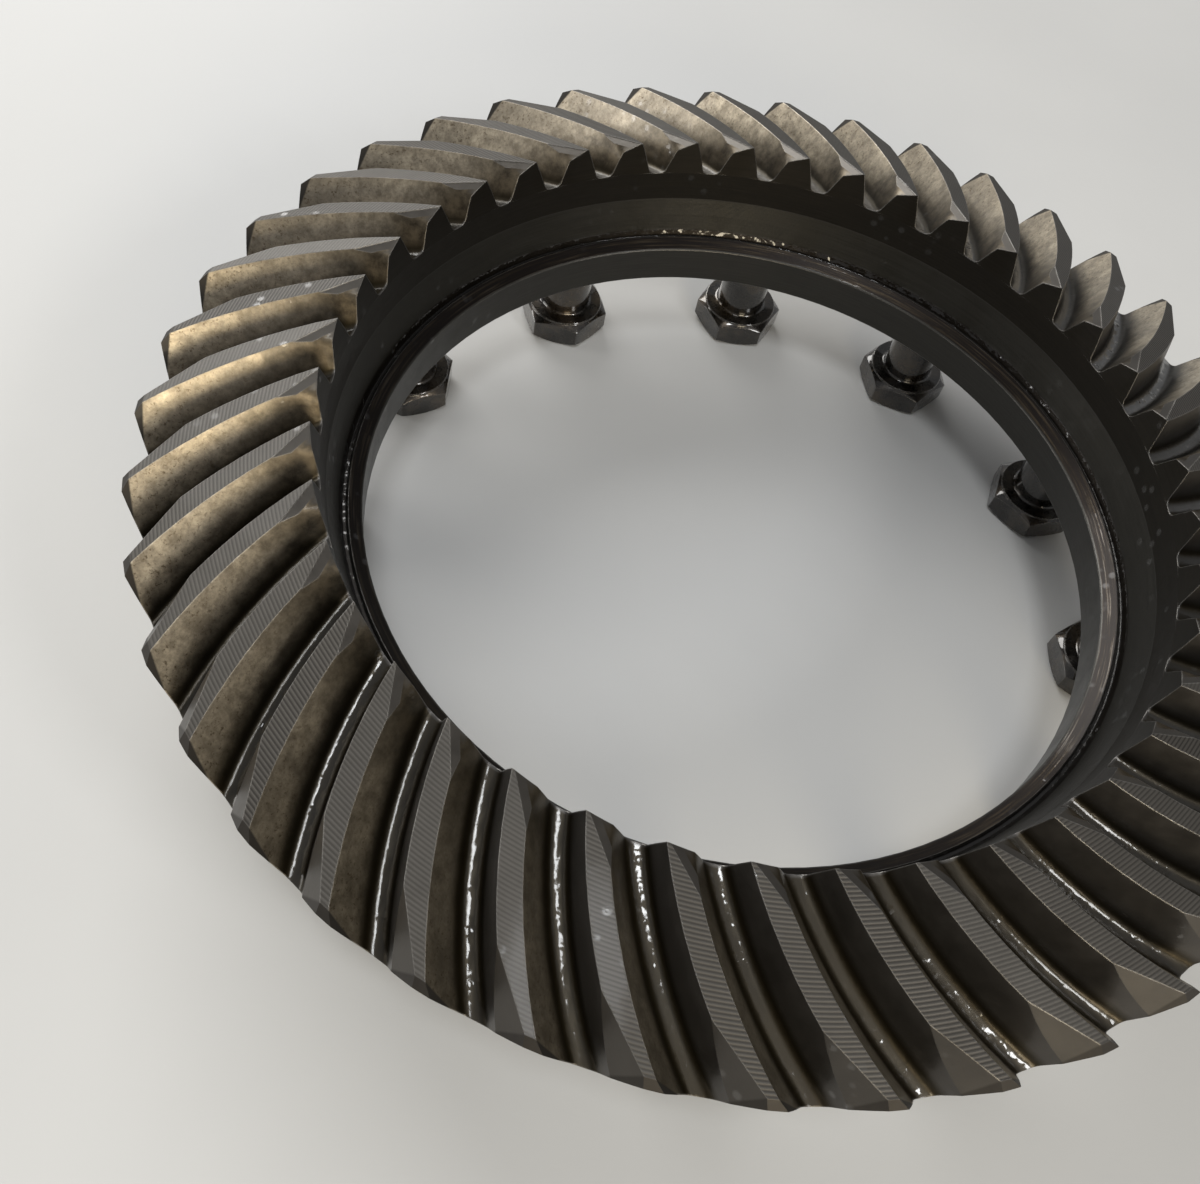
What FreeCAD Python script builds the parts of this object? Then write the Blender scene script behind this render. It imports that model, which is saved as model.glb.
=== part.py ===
import FreeCAD, Part

# Spiral bevel crown wheel (final-drive ring gear) with its ring of twelve hex bolts,
# each bolt screwed part of the way into a blind tapped hole in the rear mounting face.
# Units are millimetres. Z is the wheel's axis. Z = 0 is the rear mounting face, teeth
# face +Z, and the bolt heads hang below the rear face.

import math
import os

# ---- driving dimensions ------------------------------------------------------------
tooth_count = 41
tooth_phase = 5.83            # angle of the first tooth at the mean radius, degrees
bolt_count = 12

bore_radius = 75.0            # pilot bore that centres the wheel on its carrier
bore_chamfer = 0.5
bore_land_top = 9.2           # height of the pilot bore above the rear face
edge_break = 0.3              # tiny bevel on the top edge of the pilot bore
lip_radius = 77.6             # outer edge of the sloping lip above the pilot bore
lip_top = 10.7
groove_radius = 78.4          # shallow groove between the lip and the inner wall
groove_floor = 9.9
groove_flat = 0.6             # width of the groove's floor
wall_foot_radius = 79.3       # inner wall that rises from the groove
wall_foot = 11.3
wall_top_radius = 81.3
wall_top = 18.6
toe_root_radius = 82.0        # inner (toe) end of the tooth gaps
toe_root_height = 25.2
toe_tip_radius = 83.4         # inner end of the tooth tips

heel_face_radius = 114.4      # where the tooth tips meet the heel chamfer
heel_edge_radius = 115.7      # largest radius, outer edge of the heel chamfer
heel_edge_height = 22.7
mean_radius = 98.2            # middle of the face width
mean_tip_height = 28.3        # height of the tooth tips at the mean radius
face_slope = 0.262            # fall of the tooth tips per millimetre outwards
root_slope = 0.354            # fall of the gap bottoms per millimetre outwards
back_slope = 0.268            # inward lean of the outer surface below the heel
rear_chamfer = 1.0

mean_spiral_angle = 29.2      # degrees
cutter_radius = 95.25         # radius of the circular arc the teeth follow
pitch_angle = 75.0            # pitch cone half angle, degrees
gap_floor = 3.0               # width of the gap bottom, measured across the gap
gap_fillet = 1.40             # rounding in the corners of the gap bottom
flank_angle = 22.0            # degrees from the cone normal
flank_crown = 0.16            # bulge of each flank at mid height
gap_overshoot = 2.2           # how far the gap outline stands above the tooth tips
gap_run_in = 6.0              # how far the gap cutter runs past the toe end
gap_run_out = 9.0             # and past the heel end
gap_stations = 6              # outlines the gap cutter is lofted through
sweep_steps = 40              # steps of the sum that follows a tooth's curve
aim_rounds = 8                # rounds that bring a flank point to its radius

heel_facet_length = 10.0      # ground-off acute corner at the heel end of each tooth
heel_facet_width = 3.0
heel_facet_depth = 5.2
toe_facet_length = 5.2        # the same at the toe end, on the other flank
toe_facet_width = 2.6
toe_facet_depth = 1.3
facet_cutter_spread = 1.5     # the facet cutter's outline against the facet's own
facet_cutter_height = 5.0

bolt_circle_radius = 89.4
bolt_radius = 6.0             # M12
bolt_length = 31.0            # under the head
bolt_drop = 24.6              # outer face of the heads below the rear face
bolt_turns = [8, 49, 17, 36, 25, 3, 52, 14, 41, 29, 6, 55]    # where each hex stopped, degrees
head_across_flats = 19.0
head_height = 7.0
head_chamfer_angle = 30.0     # degrees
head_flat_radius = 9.0        # flat end of the head inside its chamfer
washer_face_radius = 9.1
washer_face_height = 0.5
under_head_fillet = 0.8
tip_chamfer = 1.2
hole_clearance = 0.05
hole_depth = 15.4             # full-width depth of each tapped hole
hole_mouth_radius = 6.9
drill_point_angle = 59.0      # half angle of the drill point, degrees

overlap = 1.0                 # how far cutters and joined shapes run into each other
cut_tolerance = 0.0005        # how closely edges must meet when the gaps are cut

axis = FreeCAD.Vector(0, 0, 1)
origin = FreeCAD.Vector(0, 0, 0)


def profile_face(points):
    """Face bounded by straight lines through (radius, height) pairs."""
    corners = [FreeCAD.Vector(r, 0, z) for r, z in points]
    return Part.Face(Part.makePolygon(corners + [corners[0]]))


def tip_height(radius):
    """Height of the tooth tips."""
    return mean_tip_height + face_slope * (mean_radius - radius)


def root_height(radius):
    """Height of the bottoms of the tooth gaps."""
    return toe_root_height - root_slope * (radius - toe_root_radius)


def spiral_sine(cone_distance):
    """Sine of the spiral angle of a circular-arc tooth at a cone distance."""
    mean_distance = mean_radius / math.sin(math.radians(pitch_angle))
    mean_sine = math.sin(math.radians(mean_spiral_angle))
    offset = mean_distance * (2 * cutter_radius * mean_sine - mean_distance)
    return (cone_distance + offset / cone_distance) / (2 * cutter_radius)


def spiral_angle(radius):
    """Angle between a tooth and the radial direction, radians."""
    return math.asin(spiral_sine(radius / math.sin(math.radians(pitch_angle))))


def sweep_angle(radius):
    """Angle the tooth has turned through at a radius, zero at the mean radius, radians."""
    total = 0.0
    step = (radius - mean_radius) / sweep_steps
    for i in range(sweep_steps):
        middle = mean_radius + (i + 0.5) * step
        total += math.tan(spiral_angle(middle)) / middle * step
    return total / math.sin(math.radians(pitch_angle))


def gap_frame(radius):
    """Bottom centre of the gap at a radius, with the directions across and out of it."""
    around = sweep_angle(radius)
    radial = FreeCAD.Vector(math.cos(around), math.sin(around), 0)
    tangent = FreeCAD.Vector(-math.sin(around), math.cos(around), 0)
    lean = math.atan(root_slope)
    outward = radial * math.cos(lean) - axis * math.sin(lean)
    normal = radial * math.sin(lean) + axis * math.cos(lean)
    spiral = spiral_angle(radius)
    across = tangent * math.cos(spiral) - outward * math.sin(spiral)
    return radial * radius + axis * root_height(radius), across, normal


def gap_depth(radius):
    """Depth of the gap, measured square to its bottom."""
    return (tip_height(radius) - root_height(radius)) * math.cos(math.atan(root_slope))


def flank_point(radius, side, below_tip):
    """Point on one flank of the gap (side -1 or 1) at a radius and a depth below the tip."""
    station = radius
    for _ in range(aim_rounds):
        floor_centre, across, normal = gap_frame(station)
        height = gap_depth(station) - below_tip
        offset = gap_floor / 2 + math.tan(math.radians(flank_angle)) * height
        point = floor_centre + across * (side * offset) + normal * height
        station += radius - math.hypot(point.x, point.y)
    return point


def gap_section(radius):
    """Closed outline across one tooth gap, square to the direction the gap runs."""
    floor_centre, across, normal = gap_frame(radius)
    depth = gap_depth(radius) + gap_overshoot
    slope = math.tan(math.radians(flank_angle))
    half_floor = gap_floor / 2
    bend = math.radians(90 - flank_angle)
    fillet_run = gap_fillet * math.tan(bend / 2)
    fillet_rise = fillet_run * math.cos(math.radians(flank_angle))
    fillet_out = fillet_run * math.sin(math.radians(flank_angle))
    mid_out = gap_fillet * math.sin(bend / 2)
    mid_rise = gap_fillet * (1 - math.cos(bend / 2))
    mid_height = (fillet_rise + depth) / 2

    def half(side):
        def place(offset, height):
            return floor_centre + across * (side * offset) + normal * height

        start = place(half_floor - fillet_run, 0)
        bend_mid = place(half_floor - fillet_run + mid_out, mid_rise)
        bend_end = place(half_floor + fillet_out, fillet_rise)
        flank_mid = place(half_floor + slope * mid_height - flank_crown, mid_height)
        top = place(half_floor + slope * depth, depth)
        return start, Part.Arc(start, bend_mid, bend_end), Part.Arc(bend_end, flank_mid, top), top

    left_start, left_bend, left_flank, left_top = half(-1)
    right_start, right_bend, right_flank, right_top = half(1)
    edges = [
        Part.LineSegment(left_start, right_start).toShape(),
        right_bend.toShape(),
        right_flank.toShape(),
        Part.LineSegment(right_top, left_top).toShape(),
        left_flank.toShape(),
        left_bend.toShape(),
    ]
    return Part.Wire(Part.__sortEdges__(edges))


def corner_cut(radius, side, direction, length, width, depth):
    """Prism that takes the acute corner off a tooth: one facet, cut plane through three points."""
    corner = flank_point(radius, side, 0)
    along_edge = flank_point(radius - direction * length, side, 0)
    down_flank = flank_point(radius, side, depth)
    around = math.degrees(side * width / radius)
    turn = FreeCAD.Rotation(axis, around)
    on_tip = turn.multVec(corner)
    middle = (along_edge + down_flank + on_tip) / 3
    corners = [middle + (p - middle) * facet_cutter_spread for p in (along_edge, down_flank, on_tip)]
    outward = (along_edge - on_tip).cross(down_flank - on_tip).normalize()
    if outward.dot(corner - middle) < 0:
        outward = outward * -1
    return Part.Face(Part.makePolygon(corners + [corners[0]])).extrude(outward * facet_cutter_height)


def make_gap():
    """Solid that removes one tooth gap, running past both ends of the teeth."""
    inner = toe_root_radius - gap_run_in
    outer = heel_edge_radius + gap_run_out
    radii = [inner + (outer - inner) * i / (gap_stations - 1) for i in range(gap_stations)]
    return Part.makeLoft([gap_section(r) for r in radii], True, False)


def make_blank():
    """Turned body of the wheel before the teeth and holes are cut."""
    rear_radius = heel_edge_radius - back_slope * heel_edge_height
    points = [
        (bore_radius + bore_chamfer, 0),
        (rear_radius - rear_chamfer, 0),
        (rear_radius + back_slope * rear_chamfer, rear_chamfer),
        (heel_edge_radius, heel_edge_height),
        (heel_face_radius, tip_height(heel_face_radius)),
        (toe_tip_radius, tip_height(toe_tip_radius)),
        (toe_root_radius, toe_root_height),
        (wall_top_radius, wall_top),
        (wall_foot_radius, wall_foot),
        (groove_radius + groove_flat / 2, groove_floor),
        (groove_radius - groove_flat / 2, groove_floor),
        (lip_radius, lip_top),
        (bore_radius + edge_break, bore_land_top),
        (bore_radius, bore_land_top - edge_break),
        (bore_radius, bore_chamfer),
    ]
    return profile_face(points).revolve(origin, axis, 360)


def make_hole():
    """Blind tapped hole on the axis, mouth at Z = 0, with a drill point."""
    radius = bolt_radius + hole_clearance
    mouth_depth = hole_mouth_radius - radius
    point_depth = radius / math.tan(math.radians(drill_point_angle))
    points = [
        (0, -overlap),
        (hole_mouth_radius, -overlap),
        (hole_mouth_radius, 0),
        (radius, mouth_depth),
        (radius, hole_depth),
        (0, hole_depth + point_depth),
    ]
    return profile_face(points).revolve(origin, axis, 360)


def make_bolt():
    """Hex bolt on the axis, head down, outer face of the head at Z = -bolt_drop."""
    head_bottom = -bolt_drop
    head_top = head_bottom + head_height
    corner_radius = head_across_flats / 2 / math.cos(math.radians(30))
    corners = []
    for i in range(6):
        turn = math.radians(60 * i + 30)
        corners.append(FreeCAD.Vector(math.cos(turn), math.sin(turn), 0) * corner_radius)
    hexagon = Part.Face(Part.makePolygon(corners + [corners[0]]))
    hexagon.translate(axis * head_bottom)
    prism = hexagon.extrude(axis * (head_height - washer_face_height))

    slope = math.tan(math.radians(head_chamfer_angle))
    rise = (corner_radius + overlap - head_flat_radius) * slope
    shoulder = head_top - washer_face_height
    envelope = profile_face([
        (0, head_bottom),
        (head_flat_radius, head_bottom),
        (corner_radius + overlap, head_bottom + rise),
        (corner_radius + overlap, shoulder - rise),
        (head_flat_radius, shoulder),
        (0, shoulder),
    ]).revolve(origin, axis, 360)
    head = prism.common(envelope)

    tip = head_top + bolt_length
    shank = profile_face([
        (0, shoulder - overlap),
        (washer_face_radius, shoulder - overlap),
        (washer_face_radius, head_top),
        (bolt_radius + under_head_fillet, head_top),
        (bolt_radius, head_top + under_head_fillet),
        (bolt_radius, tip - tip_chamfer),
        (bolt_radius - tip_chamfer, tip),
        (0, tip),
    ]).revolve(origin, axis, 360)
    return head.fuse(shank).removeSplitter()


def bolt_position(index):
    """Where a bolt's axis crosses Z = 0."""
    turn = math.radians(360.0 / bolt_count * index)
    return FreeCAD.Vector(bolt_circle_radius * math.cos(turn), bolt_circle_radius * math.sin(turn), 0)


def around_teeth(tool):
    """Copies of a cutting tool, one for every tooth gap."""
    copies = []
    for i in range(tooth_count):
        copy = tool.copy()
        copy.rotate(origin, axis, tooth_phase + (i + 0.5) * 360.0 / tooth_count)
        copies.append(copy)
    return copies


# ---- crown wheel -------------------------------------------------------------------
heel_facet = corner_cut(heel_edge_radius, 1, 1, heel_facet_length, heel_facet_width, heel_facet_depth)
toe_facet = corner_cut(toe_tip_radius, -1, -1, toe_facet_length, toe_facet_width, toe_facet_depth)
hole = make_hole()
holes = []
for i in range(bolt_count):
    cutter = hole.copy()
    cutter.translate(bolt_position(i))
    holes.append(cutter)
crown_wheel = make_blank().cut(around_teeth(make_gap()), cut_tolerance)
facets = around_teeth(heel_facet) + around_teeth(toe_facet)
crown_wheel = crown_wheel.cut(facets + holes, cut_tolerance)

# ---- bolts -------------------------------------------------------------------------
bolt = make_bolt()
parts = {"crown_wheel": crown_wheel}
for i in range(bolt_count):
    placed = bolt.copy()
    placed.rotate(origin, axis, bolt_turns[i])
    placed.translate(bolt_position(i))
    parts["bolt_%02d" % (i + 1)] = placed

os.makedirs("parts", exist_ok=True)
for name, shape in parts.items():
    shape.Solids[0].exportStep("parts/%s.step" % name)
    print(name, len(shape.Solids), shape.isValid(), round(shape.Volume))
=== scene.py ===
import math

import bmesh
import bpy
from mathutils import Matrix, Vector


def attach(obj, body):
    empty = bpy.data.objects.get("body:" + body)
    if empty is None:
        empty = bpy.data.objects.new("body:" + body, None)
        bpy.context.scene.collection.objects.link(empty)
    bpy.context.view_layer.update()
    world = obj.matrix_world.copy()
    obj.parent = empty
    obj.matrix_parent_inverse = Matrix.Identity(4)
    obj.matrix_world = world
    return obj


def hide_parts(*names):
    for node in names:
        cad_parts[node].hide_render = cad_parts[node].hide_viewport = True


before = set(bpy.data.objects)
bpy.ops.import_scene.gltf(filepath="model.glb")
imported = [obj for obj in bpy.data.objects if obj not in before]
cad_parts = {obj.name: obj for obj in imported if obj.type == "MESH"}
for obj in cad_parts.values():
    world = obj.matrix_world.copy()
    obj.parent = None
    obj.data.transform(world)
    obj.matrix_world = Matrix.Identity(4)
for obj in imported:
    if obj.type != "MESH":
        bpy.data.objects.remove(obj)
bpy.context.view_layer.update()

MM = 0.001
TURN = 2 * math.pi

# ---- the teeth, as in the CAD (metres, radians) ----------------------------------------
TOOTH_COUNT = 41
TOOTH_PHASE = math.radians(5.83)        # angle of the first tooth at the mean radius
SPIRAL_ANGLE = math.radians(29.2)
MEAN_RADIUS = 98.2 * MM
MEAN_TIP = 28.3 * MM                    # height of the tips at the mean radius
FACE_SLOPE = 0.262                      # fall of the tips, per unit of radius
ROOT_SLOPE = 0.354                      # fall of the gaps' floor, per unit of radius
TOE_ROOT_RADIUS = 82.0 * MM
TOE_ROOT_HEIGHT = 25.2 * MM
SWEEP_TERMS = (5.892, 17.03, 38.9)      # a tooth's turn in powers of (radius - mean radius)
GAP_WIDTH_SHARE = TURN / TOOTH_COUNT * math.cos(SPIRAL_ANGLE)

# ---- the bolts -------------------------------------------------------------------------
BOLT_COUNT = 12
BOLT_CIRCLE = 89.4 * MM
BOLT_TURNS = (8, 49, 17, 36, 25, 3, 52, 14, 41, 29, 6, 55)      # degrees, one per head
FLOOR_HEIGHT = -24.6 * MM               # the heads' outer faces stand on it
HEAD_HEIGHT = 7.0 * MM
HALF_ACROSS_FLATS = 9.5 * MM
HEAD_FACE_RADIUS = 9.0 * MM             # flat circle inside the head's chamfer
HEAD_CHAMFER = math.tan(math.radians(30))
HEAD_EDGE = 0.12 * MM                   # rounding of the hexagon's rims
HEAD_CORNER_LOSS = 0.005                # rounding of its corners, as a share of the radius
HEAD_CORNER_SPAN = 2.0                  # degrees over which a corner is rounded
WASHER_FACE_RADIUS = 9.08 * MM
WASHER_FACE_HEIGHT = 0.5 * MM
SHANK_RADIUS = 6.0 * MM
SHANK_LENGTH = 31.0 * MM
SHANK_FILLET = 0.8 * MM
THREAD_LENGTH = 16.0 * MM
THREAD_PITCH = 1.75 * MM
THREAD_DEPTH = 0.95 * MM
THREAD_CREST = 5.98 * MM
THREAD_GROOVE_SHARE = 0.40              # half the groove's width, as a share of the pitch
THREAD_FLAT = 1.12                      # over 1 flattens the bottom of the groove
THREAD_RINGS_PER_PITCH = 10
POINT_RADIUS = 4.8 * MM                 # where the tip's cone would start
TIP_RADIUS = 3.0 * MM

# ---- joining and sorting the faces of the meshes ---------------------------------------
SEAM_WIDTH = 0.002 * MM                 # points closer than this are one
CREASE = math.radians(20)               # the wheel's edges sharper than this stay crisp,
GAP_CREASE = math.radians(50)           # but the gaps are smooth up to this
BOLT_CREASE = math.radians(22)
FACET_SPREAD = math.radians(1.5)        # how far a ground facet's faces lie off its plane
TURNED_SPREAD = 0.12                    # how far a turned face's normal leans sideways

# ---- where each surface of the wheel fades in, for the masks ---------------------------
TEETH_START = (82.2 * MM, 82.6 * MM)            # radius
TIP_DEPTH = (0.3 * MM, 0.1 * MM)                # depth below the tips
GULLET_TOP = (2.6 * MM, 0.9 * MM)               # height above the gap's floor
GULLET_BOTTOM = (-0.6 * MM, -0.3 * MM)
HEEL_END_START = (108.7 * MM, 108.9 * MM)       # radius
RIM_START = (114.2 * MM, 114.5 * MM)
TOE_END_RADIUS = (83.6 * MM, 83.4 * MM)
TOE_END_HEIGHT = (18.4 * MM, 18.8 * MM)
WALL_HEIGHTS = (11.2 * MM, 18.6 * MM, 0.1 * MM)     # from, to, softness
WALL_RADII = (79.2 * MM, 81.5 * MM, 0.1 * MM)
GROOVE_RADII = (77.8 * MM, 79.5 * MM, 0.15 * MM)
GROOVE_HEIGHTS = (9.5 * MM, 11.5 * MM, 0.3 * MM)
LIP_RADII = (75.1 * MM, 77.75 * MM, 0.1 * MM)
LIP_HEIGHT = (8.6 * MM, 9.0 * MM)
BORE_RADIUS = (75.35 * MM, 75.2 * MM)
BORE_HEIGHT = (9.3 * MM, 9.1 * MM)
# angles round the axis between which the teeth's sides get painted shade
SHADED_SIDE_ANGLES = tuple(math.radians(a) for a in (-137, -25, 17))

# ---- colours: a pair is the darkest and the palest of a surface ------------------------
PLAIN_STEEL = (0.055, 0.052, 0.049), (0.095, 0.090, 0.084)
BRONZE = (0.225, 0.193, 0.145), (0.500, 0.436, 0.332)       # the burnished sides of the teeth
BRONZE_CLOUD = (0.180, 0.158, 0.125)
BRONZE_GRAIN = (0.130, 0.100, 0.066)
BRONZE_SPECK = (0.085, 0.058, 0.033)
# painted shade for the teeth's sides on part of the ring
BRONZE_SHADE = (0.050, 0.041, 0.027)
# the teeth's sides low in the gaps, in painted shade, and darker towards the toe
DARK_FLANK = (0.030, 0.024, 0.016), (0.100, 0.081, 0.055)
COAST_SIDE = (0.042, 0.038, 0.034), (0.085, 0.079, 0.072)
TIP_GREY = (0.066, 0.062, 0.056), (0.100, 0.094, 0.085)
TIP_STAIN = (0.050, 0.044, 0.036)
RING_VALLEY = (0.028, 0.025, 0.022)
GROUND_FACET = (0.052, 0.047, 0.041), (0.084, 0.077, 0.068)
# dark oil on the gaps' floor, darkened further as painted shade
GULLET_OIL_AND_SHADE = (0.005, 0.004, 0.002), (0.030, 0.022, 0.009)
HEEL_END = (0.026, 0.023, 0.020), (0.052, 0.047, 0.041)
TOE_END = (0.006, 0.005, 0.003), (0.017, 0.014, 0.010)
WALL = (0.016, 0.015, 0.012), (0.032, 0.030, 0.026)
# painted shade in the groove's recess, with dark oil
GROOVE_OIL_AND_SHADE = (0.008, 0.006, 0.004)
LIP = (0.007, 0.005, 0.004), (0.036, 0.025, 0.012)
BORE = (0.022, 0.021, 0.019), (0.048, 0.046, 0.041)
REAR_FACE = (0.120, 0.116, 0.110), (0.180, 0.174, 0.165)
# pale edges: partly wear, partly painted highlights along the rims
WORN_AND_HIGHLIGHT_EDGE = (0.42, 0.405, 0.38)
BLACK_OXIDE = (0.010, 0.009, 0.008), (0.034, 0.030, 0.026)
BOLT_BROWN = (0.075, 0.054, 0.032)
BOLT_WORN_EDGE = (0.30, 0.28, 0.25)
FLOOR = (0.42, 0.42, 0.415), (0.48, 0.48, 0.47)

METALLIC = 0.85
OIL_REFRACTION = 1.6
RING_SPACING = 0.65 * MM                # turned rings on the tips
HOOP_SPACING = 0.28 * MM                # turned rings on the wall and in the bore
OIL_CURVE = 45.0                        # how hollow the oil lies across a gap, per metre

# ---- stage: name, place, size, watts, colour of each lamp; sky; camera -----------------
LAMPS = (
    ("ceiling", (-0.70, 1.00, 0.82), (1.1, 0.9), 22.5, (1.0, 0.99, 0.97)),
    ("front", (0.38, -1.00, 0.38), (0.46, 0.42), 7.8, (1.0, 0.87, 0.64)),
    ("side", (-1.15, 0.00, 0.30), (0.5, 0.4), 4.0, (1.0, 0.99, 0.97)),
    ("lamp_left", (-0.06, -0.33, 0.97), (0.20, 0.20), 3.2, (0.96, 0.98, 1.0)),
    ("lamp_right", (0.62, -0.52, 0.65), (0.20, 0.20), 3.0, (1.0, 1.0, 1.0)),
)
SKY_STRENGTH = 0.30
SKY_COLOR = (0.97, 0.98, 1.0)
FLOOR_HALF = 1.6
FLOOR_CLEARANCE = 0.02 * MM
CAMERA_PLACE = (-0.03479, -0.15097, 0.19790)
CAMERA_ELEVATION = math.radians(56.49)
CAMERA_AZIMUTH = math.radians(-4.3)
CAMERA_ROLL = math.radians(14.297)
CAMERA_LENS = 35.97
CAMERA_SENSOR = 36.0


# ---- shader helper ---------------------------------------------------------------------
class Shader:
    """A node material with one Principled surface, and short ways to add nodes to it."""

    def __init__(self, name):
        self.material = bpy.data.materials.new(name)
        self.material.use_nodes = True
        self.tree = self.material.node_tree
        self.tree.nodes.clear()
        self.surface = self.node("ShaderNodeBsdfPrincipled")
        output = self.node("ShaderNodeOutputMaterial")
        self.tree.links.new(self.surface.outputs[0], output.inputs["Surface"])
        self.coords = self.node("ShaderNodeTexCoord")
        self.position = self.coords.outputs["Object"]
        self.sharp = self.node("ShaderNodeNewGeometry").outputs["Normal"]

    def node(self, kind, **settings):
        node = self.tree.nodes.new(kind)
        for key, value in settings.items():
            setattr(node, key, value)
        return node

    def feed(self, socket, value):
        """Link a socket to another, or set its value; a colour may leave out its alpha."""
        if isinstance(value, bpy.types.NodeSocket):
            self.tree.links.new(value, socket)
        elif isinstance(value, tuple) and socket.type == "RGBA":
            socket.default_value = (*value, 1.0)
        else:
            socket.default_value = value

    def math(self, operation, *values):
        node = self.node("ShaderNodeMath", operation=operation)
        for socket, value in zip(node.inputs, values):
            self.feed(socket, value)
        return node.outputs[0]

    def add(self, *values):
        total = values[0]
        for value in values[1:]:
            total = self.math("ADD", total, value)
        return total

    def minus(self, first, second):
        return self.math("SUBTRACT", first, second)

    def times(self, *values):
        product = values[0]
        for value in values[1:]:
            product = self.math("MULTIPLY", product, value)
        return product

    def divide(self, first, second):
        return self.math("DIVIDE", first, second)

    def larger(self, first, second):
        return self.math("MAXIMUM", first, second)

    def ramp(self, value, low, high, start=0.0, end=1.0):
        """Goes from start to end while the value goes from low to high."""
        node = self.node("ShaderNodeMapRange", clamp=True)
        for key, number in (("Value", value), ("From Min", low), ("From Max", high)):
            self.feed(node.inputs[key], number)
        node.inputs["To Min"].default_value = start
        node.inputs["To Max"].default_value = end
        return node.outputs[0]

    def band(self, value, low, high, soft):
        """One between low and high, zero elsewhere, with soft ends."""
        rise = self.ramp(value, low - soft, low + soft)
        fall = self.ramp(value, high + soft, high - soft)
        return self.times(rise, fall)

    def noise(self, scale, detail=4.0, roughness=0.55, vector=None):
        node = self.node("ShaderNodeTexNoise")
        self.feed(node.inputs["Vector"], vector or self.position)
        node.inputs["Scale"].default_value = scale
        node.inputs["Detail"].default_value = detail
        node.inputs["Roughness"].default_value = roughness
        return node.outputs["Fac"]

    def cells(self, scale):
        node = self.node("ShaderNodeTexVoronoi")
        self.feed(node.inputs["Vector"], self.position)
        node.inputs["Scale"].default_value = scale
        return node.outputs["Distance"]

    def dice(self, number):
        node = self.node("ShaderNodeTexWhiteNoise", noise_dimensions="1D")
        self.feed(node.inputs["W"], number)
        return node.outputs["Value"]

    def vector(self, x, y, z):
        node = self.node("ShaderNodeCombineXYZ")
        for socket, value in zip(node.inputs, (x, y, z)):
            self.feed(socket, value)
        return node.outputs[0]

    def split(self, vector):
        node = self.node("ShaderNodeSeparateXYZ")
        self.feed(node.inputs[0], vector)
        return node.outputs[0], node.outputs[1], node.outputs[2]

    def mix(self, factor, first, second):
        """Mix of two colours or vectors."""
        node = self.node("ShaderNodeMix", data_type="RGBA")
        for index, value in ((0, factor), (6, first), (7, second)):
            self.feed(node.inputs[index], value)
        return node.outputs[2]

    def blend(self, factor, first, second):
        """Mix of two numbers."""
        node = self.node("ShaderNodeMix", data_type="FLOAT")
        for index, value in ((0, factor), (2, first), (3, second)):
            self.feed(node.inputs[index], value)
        return node.outputs[0]

    def rounded_normal(self, radius):
        node = self.node("ShaderNodeBevel", samples=4)
        node.inputs["Radius"].default_value = radius
        return node.outputs["Normal"]

    def edge_mask(self, rounded, low, high):
        """Where the rounded normal leaves the sharp one, which is near edges."""
        dot = self.node("ShaderNodeVectorMath", operation="DOT_PRODUCT")
        self.feed(dot.inputs[0], rounded)
        self.feed(dot.inputs[1], self.sharp)
        return self.ramp(dot.outputs["Value"], low, high)

    def bump(self, height, distance, strength, normal):
        node = self.node("ShaderNodeBump")
        self.feed(node.inputs["Height"], height)
        node.inputs["Distance"].default_value = distance
        self.feed(node.inputs["Strength"], strength)
        self.feed(node.inputs["Normal"], normal)
        return node.outputs["Normal"]

    def finish(self, color, roughness, normal, metallic):
        self.feed(self.surface.inputs["Base Color"], color)
        self.feed(self.surface.inputs["Roughness"], roughness)
        self.feed(self.surface.inputs["Normal"], normal)
        self.surface.inputs["Metallic"].default_value = metallic
        return self.material

    def oil(self, amount, roughness, normal):
        """A clear film over the surface."""
        self.feed(self.surface.inputs["Coat Weight"], amount)
        self.surface.inputs["Coat Roughness"].default_value = roughness
        self.surface.inputs["Coat IOR"].default_value = OIL_REFRACTION
        self.feed(self.surface.inputs["Coat Normal"], normal)


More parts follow.
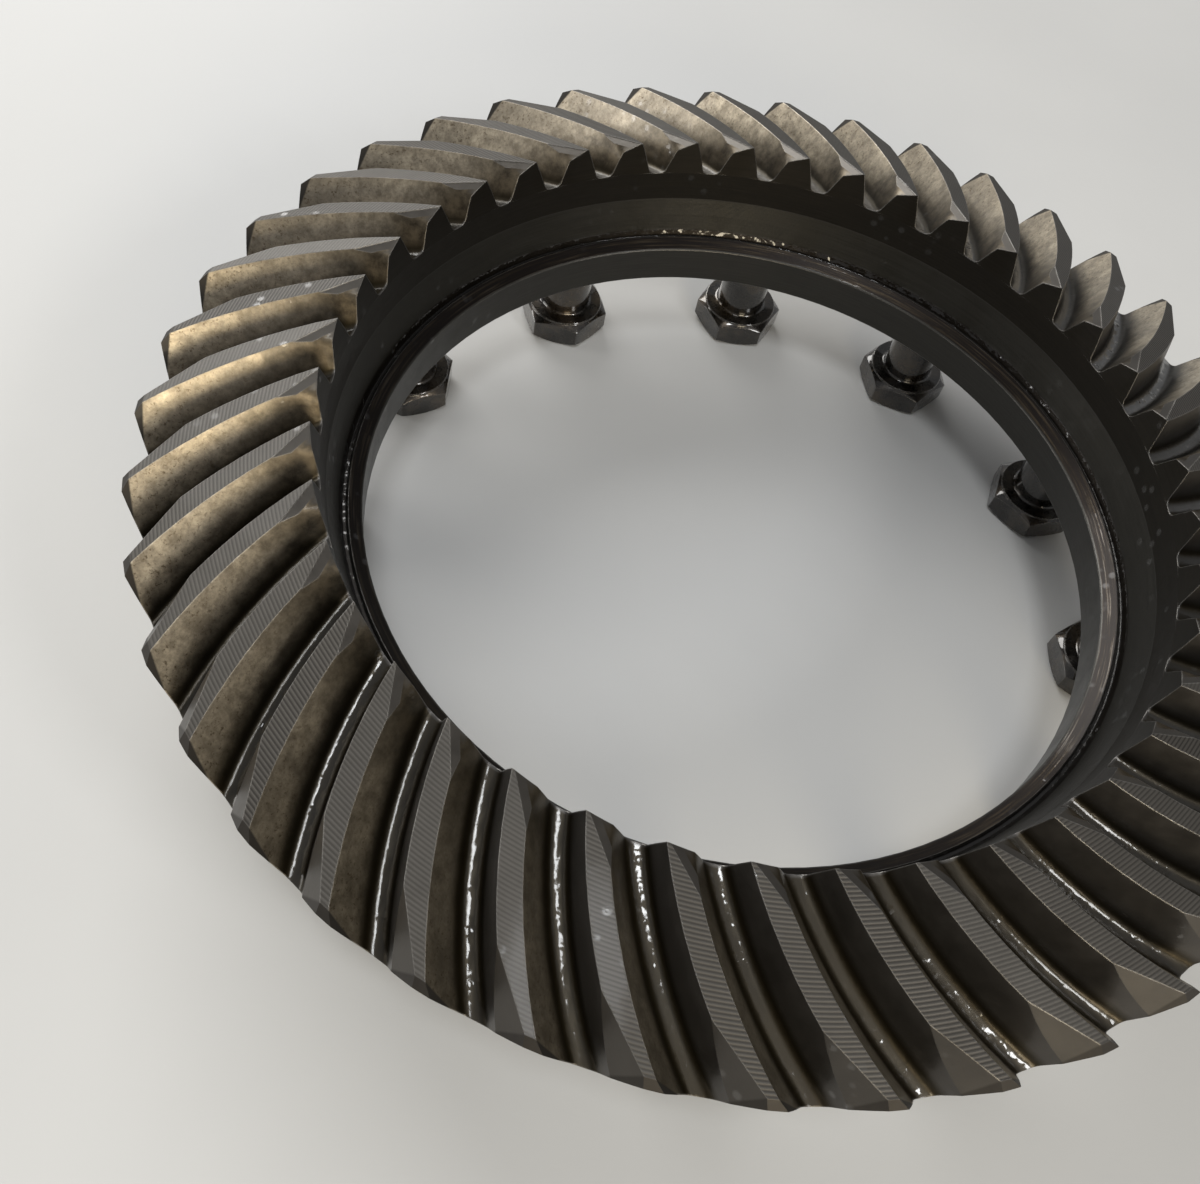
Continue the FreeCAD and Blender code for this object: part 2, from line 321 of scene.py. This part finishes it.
# ---- the wheel's material --------------------------------------------------------------
class GearShader(Shader):
    """Oiled gear steel, which finds the surface a point is on and dresses each its own way."""

    def __init__(self):
        super().__init__("gear_steel_oiled")
        self.locate()
        self.count_teeth()
        self.mark_teeth()
        self.mark_body()
        self.make_noises()
        self.rounded = self.mix(self.heel_end, self.rounded_normal(0.30 * MM), self.sharp)

    def locate(self):
        """The point's place round the axis, and how its surface faces there."""
        x, y, self.z = self.split(self.position)
        self.radius = self.math("SQRT", self.add(self.times(x, x), self.times(y, y)))
        self.angle = self.math("ARCTAN2", y, x)
        nx, ny, self.facing_up = self.split(self.coords.outputs["Normal"])
        crosswise = self.minus(self.times(ny, x), self.times(nx, y))
        self.turning = self.divide(crosswise, self.radius)
        outward = self.add(self.times(nx, x), self.times(ny, y))
        self.facing_out = self.divide(outward, self.radius)
        self.from_mean = self.minus(self.radius, MEAN_RADIUS)
        tip = self.minus(MEAN_TIP, self.times(self.from_mean, FACE_SLOPE))
        self.depth = self.minus(tip, self.z)
        root_fall = self.times(self.minus(self.radius, TOE_ROOT_RADIUS), ROOT_SLOPE)
        self.above_root = self.minus(self.z, self.minus(TOE_ROOT_HEIGHT, root_fall))

    def count_teeth(self):
        """A random value per tooth and per gap, and the distance from a gap's middle."""
        sweep = self.times(self.from_mean, SWEEP_TERMS[2])
        sweep = self.times(self.from_mean, self.add(SWEEP_TERMS[1], sweep))
        sweep = self.times(self.from_mean, self.add(SWEEP_TERMS[0], sweep))
        place = self.minus(self.minus(self.angle, TOOTH_PHASE), sweep)
        place = self.times(place, TOOTH_COUNT / TURN)

        def value_of(number):
            number = self.add(number, 2 * TOOTH_COUNT)
            return self.dice(self.math("MODULO", number, TOOTH_COUNT))

        self.per_tooth = value_of(self.math("ROUND", place))
        self.per_gap = value_of(self.math("FLOOR", place))
        share = self.minus(self.math("FRACT", place), 0.5)
        self.across_gap = self.times(share, self.radius, GAP_WIDTH_SHARE)

    def mark_teeth(self):
        """Masks of the teeth's surfaces."""
        in_teeth = self.ramp(self.radius, *TEETH_START)
        flat_up = self.ramp(self.facing_up, 0.88, 0.94)
        self.topland = self.times(in_teeth, flat_up, self.ramp(self.depth, *TIP_DEPTH))
        self.drive = self.times(in_teeth, self.ramp(self.turning, 0.25, 0.6))
        self.coast = self.times(in_teeth, self.ramp(self.turning, -0.25, -0.6))
        self.ground = self.node("ShaderNodeAttribute", attribute_name="ground").outputs["Fac"]
        cone = self.ramp(self.facing_out, 0.80, 0.88)
        heel_cone = self.times(self.ramp(self.radius, *HEEL_END_START), cone)
        self.heel_end = self.larger(heel_cone, self.ramp(self.radius, *RIM_START))
        gullet_top = self.ramp(self.above_root, *GULLET_TOP)
        gullet_bottom = self.ramp(self.above_root, *GULLET_BOTTOM)
        gullet = self.times(in_teeth, gullet_top, gullet_bottom)
        self.gullet = self.times(gullet, self.minus(1.0, self.heel_end))

    def mark_body(self):
        """Masks of the turned surfaces inside the ring and of the rear face."""
        high = self.ramp(self.z, *TOE_END_HEIGHT)
        facing_in = self.ramp(self.facing_out, -0.5, -0.8)
        self.toe_end = self.times(self.ramp(self.radius, *TOE_END_RADIUS), high, facing_in)
        wall_ring = self.band(self.radius, *WALL_RADII)
        self.wall = self.times(self.band(self.z, *WALL_HEIGHTS), wall_ring)
        groove_ring = self.band(self.radius, *GROOVE_RADII)
        self.groove = self.times(groove_ring, self.band(self.z, *GROOVE_HEIGHTS))
        lip_ring = self.band(self.radius, *LIP_RADII)
        self.lip = self.times(lip_ring, self.ramp(self.z, *LIP_HEIGHT))
        bore_ring = self.ramp(self.radius, *BORE_RADIUS)
        self.bore = self.times(bore_ring, self.ramp(self.z, *BORE_HEIGHT))
        self.rear = self.ramp(self.facing_up, -0.1, -0.3)

    def make_noises(self):
        """Noise at several scales, and the turned rings."""
        self.clouds = self.noise(28.0, 5.0)
        self.mottle = self.noise(160.0, 6.0, 0.65)
        self.grain = self.noise(1500.0, 3.0, 0.6)
        self.pores = self.ramp(self.noise(330.0, 6.0, 0.68), 0.36, 0.64)
        self.specks = self.ramp(self.noise(1300.0, 3.0, 0.7), 0.57, 0.66)
        self.drops = self.ramp(self.cells(260.0), 0.24, 0.14)
        around = self.vector(
            self.times(self.angle, 0.083), self.times(self.radius, 40.0), self.times(self.z, 40.0)
        )
        self.streaks = self.noise(70.0, 4.0, 0.6, around)
        wavy_radius = self.add(self.radius, self.times(self.clouds, 0.2 * MM))
        self.rings = self.math("SINE", self.times(wavy_radius, TURN / RING_SPACING))
        self.ring_share = self.ramp(self.per_tooth, 0.1, 0.9, 0.35, 0.85)

    def bronze(self):
        """The teeth's sides: pale towards the heel, darker near the toe, with painted shade near
        the gaps' floor and on part of the ring.
        """
        heelward = self.ramp(self.radius, 84.0 * MM, 112.0 * MM)
        color = self.mix(self.pores, *BRONZE)
        color = self.mix(self.ramp(self.clouds, 0.40, 0.60, 0.0, 0.50), color, BRONZE_CLOUD)
        color = self.mix(self.ramp(self.grain, 0.42, 0.66, 0.0, 0.35), color, BRONZE_GRAIN)
        speck_share = self.ramp(heelward, 0.2, 0.9, 0.1, 0.75)
        color = self.mix(self.times(self.specks, speck_share), color, BRONZE_SPECK)
        # painted shade on the sides near the gap's floor, and darker towards the toe
        clear_of_root = self.ramp(self.above_root, 1.4 * MM, 4.4 * MM)
        bright_flank = self.times(self.ramp(heelward, 0.08, 0.48), clear_of_root)
        color = self.mix(bright_flank, self.mix(self.pores, *DARK_FLANK), color)
        # painted shade on the teeth's sides between these angles round the axis
        shaded_side = self.band(self.angle, *SHADED_SIDE_ANGLES)
        return self.mix(self.times(shaded_side, 0.55), color, BRONZE_SHADE)

    def tip_grey(self):
        """The tips: grey, stained on some teeth, with dark valleys between the turned rings."""
        color = self.mix(self.mottle, *TIP_GREY)
        color = self.mix(self.times(self.per_tooth, 0.4), color, TIP_STAIN)
        valleys = self.times(self.ramp(self.rings, 0.2, -0.8), self.ring_share)
        return self.mix(valleys, color, RING_VALLEY)

    def color(self):
        color = self.mix(self.clouds, *PLAIN_STEEL)
        brown_lip = self.ramp(self.streaks, 0.50, 0.75)
        for mask, dressed in (
            (self.drive, self.bronze()),
            (self.coast, self.mix(self.mottle, *COAST_SIDE)),
            (self.topland, self.tip_grey()),
            (self.ground, self.mix(self.mottle, *GROUND_FACET)),
            # the gaps' floor: dark oil and painted shade
            (self.times(self.gullet, 0.9), self.mix(self.clouds, *GULLET_OIL_AND_SHADE)),
            (self.heel_end, self.mix(self.mottle, *HEEL_END)),
            (self.toe_end, self.mix(self.streaks, *TOE_END)),
            (self.wall, self.mix(self.streaks, *WALL)),
            # the groove: painted shade in the recess, with dark oil
            (self.groove, GROOVE_OIL_AND_SHADE),
            (self.lip, self.mix(brown_lip, *LIP)),
            (self.bore, self.mix(self.streaks, *BORE)),
            (self.rear, self.mix(self.clouds, *REAR_FACE)),
        ):
            color = self.mix(mask, color, dressed)
        # edges painted pale: partly wear, partly painted highlight
        pale_edges = self.edge_mask(self.rounded, 0.985, 0.90)
        pale_edges = self.times(pale_edges, self.ramp(self.mottle, 0.35, 0.6, 0.35, 1.0))
        return self.mix(self.times(pale_edges, self.blend(self.groove, 0.42, 0.0)), color, WORN_AND_HIGHLIGHT_EDGE)

    def wetness(self):
        """Oil in the middle of the gaps, on the lip, in the groove and in scattered drops."""
        off_middle = self.add(self.across_gap, self.times(self.clouds, 1.2 * MM), -0.6 * MM)
        pool = self.ramp(self.math("ABSOLUTE", off_middle), 1.3 * MM, 0.6 * MM)
        wet = self.times(self.gullet, pool, self.ramp(self.per_gap, 0.1, 0.9, 0.45, 1.0))
        lip_streaks = self.ramp(self.streaks, 0.56, 0.72, 0.0, 0.7)
        wet = self.larger(wet, self.times(self.lip, lip_streaks))
        wet = self.larger(wet, self.times(self.groove, 0.8))
        return self.larger(wet, self.times(self.drops, self.ramp(self.clouds, 0.5, 0.62), 0.7))

    def roughness(self):
        rough = self.ramp(self.mottle, 0.3, 0.7, 0.34, 0.48)
        for mask, value in (
            (self.drive, self.ramp(self.mottle, 0.3, 0.7, 0.36, 0.50)),
            (self.toe_end, 0.50),
            (self.wall, self.ramp(self.streaks, 0.3, 0.7, 0.40, 0.50)),
            (self.topland, 0.56),
            (self.lip, 0.38),
            (self.gullet, 0.40),
            (self.heel_end, 0.60),
        ):
            rough = self.blend(mask, rough, value)
        return rough

    def steel_normal(self):
        """Relief of the steel: turned rings, lapping marks and fine grain."""
        hoops = self.math("SINE", self.times(self.z, TURN / HOOP_SPACING))
        height = self.times(self.rings, self.times(self.topland, self.ring_share))
        height = self.add(height, self.times(hoops, 0.12, self.larger(self.wall, self.bore)))
        height = self.add(height, self.times(self.grain, 0.35))
        sides = self.larger(self.drive, self.coast)
        height = self.add(height, self.times(self.mottle, 0.5, sides))
        return self.bump(height, 0.04 * MM, 1.0, self.rounded)

    def oil_normal(self, wet):
        """Relief of the oil: hollow across a gap, with ripples and beads."""
        hollow = self.times(self.across_gap, self.across_gap, self.gullet, OIL_CURVE)
        ripples = self.add(self.noise(420.0, 1.0, 0.5), self.times(self.drops, 0.5))
        beads = self.times(self.noise(800.0, 1.0, 0.5), 0.08 * MM)
        height = self.add(hollow, self.times(ripples, 0.20 * MM), beads)
        return self.bump(height, 1.0, self.ramp(wet, 0.1, 0.8, 0.05, 0.9), self.rounded)


def gear_material():
    s = GearShader()
    wet = s.wetness()
    s.oil(s.add(s.times(wet, 0.95), 0.05), 0.09, s.oil_normal(wet))
    return s.finish(s.color(), s.roughness(), s.steel_normal(), METALLIC)


# ---- the other materials ---------------------------------------------------------------
def bolt_material():
    s = Shader("bolt_black_oxide")
    clouds = s.noise(120.0, 5.0)
    mottle = s.noise(480.0, 6.0, 0.65)
    grain = s.noise(2600.0, 3.0, 0.6)
    color = s.mix(mottle, *BLACK_OXIDE)
    color = s.mix(s.times(s.ramp(clouds, 0.45, 0.68), 0.7), color, BOLT_BROWN)
    rounded = s.rounded_normal(0.22 * MM)
    pale_edges = s.edge_mask(rounded, 0.985, 0.88)
    color = s.mix(s.times(pale_edges, 0.5), color, BOLT_WORN_EDGE)
    height = s.add(s.times(grain, 0.3), s.times(mottle, 0.6))
    normal = s.bump(height, 0.05 * MM, 1.0, rounded)
    s.oil(s.ramp(clouds, 0.35, 0.5, 0.8, 1.0), 0.03, rounded)
    return s.finish(color, s.ramp(mottle, 0.3, 0.7, 0.20, 0.36), normal, METALLIC)


def floor_material():
    s = Shader("floor_pale")
    mottle = s.noise(7.0, 4.0)
    normal = s.bump(s.noise(420.0, 3.0), 0.1 * MM, 0.3, s.sharp)
    return s.finish(s.mix(mottle, *FLOOR), s.ramp(mottle, 0.3, 0.7, 0.55, 0.65), normal, 0.0)


# ---- pieces ----------------------------------------------------------------------------
def link(name, data):
    thing = bpy.data.objects.new(name, data)
    bpy.context.scene.collection.objects.link(thing)
    return thing


def add_piece(name, mesh, material):
    mesh.materials.clear()
    mesh.materials.append(material)
    piece = link(name, mesh)
    return piece


def tooth_sweep(radius):
    """How far a tooth has turned at a radius, from its place at the mean radius."""
    out = radius - MEAN_RADIUS
    return out * (SWEEP_TERMS[0] + out * (SWEEP_TERMS[1] + out * SWEEP_TERMS[2]))


def in_gap_frame(face):
    """A face's normal as seen from its own tooth gap, so that it reads the same on each."""
    centre = face.calc_center_median()
    place = math.atan2(centre.y, centre.x) - tooth_sweep(centre.xy.length) - TOOTH_PHASE
    pitch = TURN / TOOTH_COUNT
    back = -(math.floor(place / pitch) + 0.5) * pitch
    return Matrix.Rotation(back, 3, "Z") @ face.normal


def commonest_normal(faces):
    """The gap-frame normal that covers the most area: that of the flat facet among them."""
    area = {}
    for face in faces:
        key = tuple(round(v, 2) for v in in_gap_frame(face))
        area[key] = area.get(key, 0) + face.calc_area()
    return Vector(max(area, key=area.get)).normalized()


def face_kind(face):
    """Which surface of the wheel a face belongs to."""
    centre = face.calc_center_median()
    radius = centre.xy.length
    outward = face.normal.xy.dot(centre.xy) / radius
    around = (face.normal.y * centre.x - face.normal.x * centre.y) / radius
    depth = MEAN_TIP - FACE_SLOPE * (radius - MEAN_RADIUS) - centre.z
    up = face.normal.z
    if radius < TOE_ROOT_RADIUS or abs(outward) > 0.88 or up < 0:
        return "body"
    if up > 0.95 and depth < 0.1 * MM:
        return "tip"
    if radius > 104 * MM and around < -0.2 and up > 0.3 and depth < 5 * MM:
        return "heel corner"
    if radius < 90 * MM and around > 0.2 and up > 0.8 and depth < 2 * MM:
        return "toe corner"
    return "gap"


def sort_faces(faces):
    """The kind of each face; a corner is only what lies in its ground facet's plane."""
    kinds = [face_kind(face) for face in faces]
    for corner in ("heel corner", "toe corner"):
        facet = commonest_normal([f for f, kind in zip(faces, kinds) if kind == corner])
        for index, face in enumerate(faces):
            if kinds[index] == corner and in_gap_frame(face).angle(facet) > FACET_SPREAD:
                kinds[index] = "gap"
    return kinds


def set_turned_normals(mesh, kinds):
    """Give the lathe-turned surfaces the exact normals of their cones and cylinders."""
    normals = [corner.vector.copy() for corner in mesh.corner_normals]
    for polygon, kind in zip(mesh.polygons, kinds):
        out = polygon.center.xy.normalized()
        flat = polygon.normal.xy
        if kind not in ("body", "tip") or abs(flat.cross(out)) > TURNED_SPREAD:
            continue
        outward = flat.dot(out)
        for corner in polygon.loop_indices:
            place = mesh.vertices[mesh.loops[corner].vertex_index].co.xy.normalized()
            normal = Vector((outward * place.x, outward * place.y, polygon.normal.z))
            normals[corner] = normal.normalized()
    mesh.normals_split_custom_set(normals)


def make_wheel():
    """The CAD wheel's surface with its seams joined, smooth where the real one is smooth."""
    bm = bmesh.new()
    bm.from_mesh(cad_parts["crown_wheel"].data)
    bmesh.ops.remove_doubles(bm, verts=bm.verts, dist=SEAM_WIDTH)
    bm.normal_update()
    kinds = sort_faces(list(bm.faces))
    for edge in bm.edges:
        first, second = (kinds[face.index] for face in edge.link_faces)
        limit = GAP_CREASE if first == second == "gap" else CREASE
        edge.smooth = first == second and edge.calc_face_angle() < limit
    for face in bm.faces:
        face.smooth = True
    mesh = bpy.data.meshes.new("crown_wheel_surface")
    bm.to_mesh(mesh)
    bm.free()
    set_turned_normals(mesh, kinds)
    ground = mesh.attributes.new("ground", "FLOAT", "FACE")
    ground.data.foreach_set("value", [float(kind.endswith("corner")) for kind in kinds])
    piece = add_piece("crown_wheel_steel", mesh, gear_material())
    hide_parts("crown_wheel")
    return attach(piece, "wheel")


def hex_radius(angle, turn):
    """Distance from the bolt's axis to its hexagon, whose corners are slightly rounded."""
    off_flat = (math.degrees(angle) - turn + 30) % 60 - 30
    off_corner = min(1.0, (30 - abs(off_flat)) / HEAD_CORNER_SPAN)
    corner_round = 1 - HEAD_CORNER_LOSS + HEAD_CORNER_LOSS * off_corner
    return HALF_ACROSS_FLATS / math.cos(math.radians(off_flat)) * corner_round


def ring(radius, height):
    """A plain circle of a bolt's outline."""
    return lambda angle: (radius, height)


def head_rings(turn, bottom, top):
    """The head, from its outer face to its washer face."""
    shoulder = top - WASHER_FACE_HEIGHT
    washer = WASHER_FACE_RADIUS

    def side(base, direction, inset):
        def outline(angle):
            radius = hex_radius(angle, turn)
            rise = (radius - HEAD_FACE_RADIUS) * HEAD_CHAMFER - inset * HEAD_CHAMFER * 0.5
            return radius - inset, base + direction * rise

        return outline

    return [
        ring(0.6 * HEAD_FACE_RADIUS, bottom),
        ring(HEAD_FACE_RADIUS - 0.15 * MM, bottom),
        ring(HEAD_FACE_RADIUS, bottom + 0.03 * MM),
        side(bottom, 1, HEAD_EDGE),
        side(bottom + HEAD_EDGE, 1, 0.0),
        side(shoulder - HEAD_EDGE, -1, 0.0),
        side(shoulder, -1, HEAD_EDGE),
        ring(HEAD_FACE_RADIUS + HEAD_EDGE, shoulder),
        ring(washer, shoulder + 0.08 * MM),
        ring(washer, top - 0.1 * MM),
        ring(washer - 0.1 * MM, top),
    ]


def shank_rings(top, thread_start):
    """The fillet under the head and the plain part of the shank."""
    rings = [ring(SHANK_RADIUS + SHANK_FILLET, top)]
    for i in range(1, 6):
        t = math.radians(90 * i / 5)
        radius = SHANK_RADIUS + SHANK_FILLET - SHANK_FILLET * math.sin(t)
        rings.append(ring(radius, top + SHANK_FILLET * (1 - math.cos(t))))
    shank_start = top + SHANK_FILLET
    for i in range(1, 6):
        rings.append(ring(SHANK_RADIUS, shank_start + (thread_start - shank_start) * i / 6))
    return rings


def thread_rings(thread_start, tip):
    """The thread, which starts shallow, and the tip's cone."""

    def outline_at(height):
        def outline(angle):
            phase = (height / THREAD_PITCH - angle / TURN) % 1.0
            groove = max(0.0, 1.0 - abs(phase - 0.5) / THREAD_GROOVE_SHARE)
            fade = min(1.0, (height - thread_start) / (2 * THREAD_PITCH))
            radius = THREAD_CREST - THREAD_DEPTH * min(groove * THREAD_FLAT, 1.0) * fade
            return min(radius, POINT_RADIUS + (tip - height)), height

        return outline

    steps = int(THREAD_LENGTH / THREAD_PITCH * THREAD_RINGS_PER_PITCH)
    rings = [outline_at(thread_start + THREAD_LENGTH * i / steps) for i in range(steps + 1)]
    return rings + [ring(TIP_RADIUS, tip)]


def bolt_rings(turn):
    """Rings of a bolt from the head's outer face to the tip, each a function of the angle."""
    top = FLOOR_HEIGHT + HEAD_HEIGHT
    tip = top + SHANK_LENGTH
    thread_start = tip - THREAD_LENGTH
    rings = head_rings(turn, FLOOR_HEIGHT, top)
    return rings + shank_rings(top, thread_start) + thread_rings(thread_start, tip)


def ring_angles(turn):
    """Angles of a ring's points: closer together at the hexagon's corners."""
    steps = (-1.0, 0, 1.0, 3, 8, 14, 20, 26, 30, 34, 40, 46, 52, 57)
    return [math.radians(turn + 30 + 60 * side + step) for side in range(6) for step in steps]


def make_bolt(index, material):
    """Hex bolt with a chamfered head, washer face, fillet and a cut thread."""
    turn = BOLT_TURNS[index]
    centre_angle = TURN * index / BOLT_COUNT
    centre = Vector((math.cos(centre_angle), math.sin(centre_angle), 0)) * BOLT_CIRCLE
    angles = ring_angles(turn)
    bm = bmesh.new()
    loops = []
    for outline in bolt_rings(turn):
        loop = []
        for a in angles:
            radius, height = outline(a)
            place = Vector((radius * math.cos(a), radius * math.sin(a), height))
            loop.append(bm.verts.new(centre + place))
        loops.append(loop)
    count = len(angles)
    for low, high in zip(loops, loops[1:]):
        for i in range(count):
            j = (i + 1) % count
            bm.faces.new((low[i], low[j], high[j], high[i]))
    bm.faces.new(list(reversed(loops[0])))
    bm.faces.new(loops[-1])
    bmesh.ops.recalc_face_normals(bm, faces=bm.faces)
    name = "bolt_%02d" % (index + 1)
    mesh = bpy.data.meshes.new(name + "_surface")
    bm.to_mesh(mesh)
    bm.free()
    mesh.polygons.foreach_set("use_smooth", [True] * len(mesh.polygons))
    mesh.set_sharp_from_angle(angle=BOLT_CREASE)
    piece = add_piece(name + "_steel", mesh, material)
    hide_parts(name)
    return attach(piece, "screw_%02d" % (index + 1))


make_wheel()
black_oxide = bolt_material()
for number in range(BOLT_COUNT):
    make_bolt(number, black_oxide)


# ---- floor, light, camera --------------------------------------------------------------
def make_floor():
    half = FLOOR_HALF
    height = FLOOR_HEIGHT - FLOOR_CLEARANCE
    corners = [(-half, -half), (half, -half), (half, half), (-half, half)]
    mesh = bpy.data.meshes.new("floor")
    mesh.from_pydata([(x, y, height) for x, y in corners], [], [(0, 1, 2, 3)])
    mesh.materials.append(floor_material())
    floor = link("floor", mesh)


def make_world():
    world = bpy.data.worlds.new("studio")
    world.use_nodes = True
    background = world.node_tree.nodes["Background"]
    background.inputs["Color"].default_value = (*SKY_COLOR, 1.0)
    background.inputs["Strength"].default_value = SKY_STRENGTH
    bpy.context.scene.world = world


def make_lamp(name, place, size, power, color):
    """A soft rectangle of light that faces the wheel's middle."""
    light = bpy.data.lights.new(name, "AREA")
    light.shape = "RECTANGLE"
    light.size, light.size_y = size
    light.energy = power
    light.color = color
    lamp = link(name, light)
    lamp.location = place
    inwards = Vector((0, 0, 0)) - Vector(place)
    lamp.rotation_euler = inwards.to_track_quat("-Z", "Y").to_euler()


def make_camera():
    """The photo's viewpoint: azimuth, elevation, then a roll about the line of sight."""
    turn = Matrix.Rotation(CAMERA_AZIMUTH, 3, "Z")
    level = Vector((0, math.cos(CAMERA_ELEVATION), -math.sin(CAMERA_ELEVATION)))
    forward = turn @ level
    right = turn @ Vector((1, 0, 0))
    up = right.cross(forward)
    image_right = math.cos(CAMERA_ROLL) * right + math.sin(CAMERA_ROLL) * up
    image_up = -math.sin(CAMERA_ROLL) * right + math.cos(CAMERA_ROLL) * up
    rotation = Matrix((image_right, image_up, -forward)).transposed()
    camera = link("camera", bpy.data.cameras.new("camera"))
    camera.data.lens = CAMERA_LENS
    camera.data.sensor_width = CAMERA_SENSOR
    camera.data.clip_start = 0.01
    camera.matrix_world = Matrix.Translation(CAMERA_PLACE) @ rotation.to_4x4()
    bpy.context.scene.camera = camera


make_floor()
make_world()
for lamp_settings in LAMPS:
    make_lamp(*lamp_settings)
make_camera()
bpy.context.scene.view_settings.view_transform = "Standard"
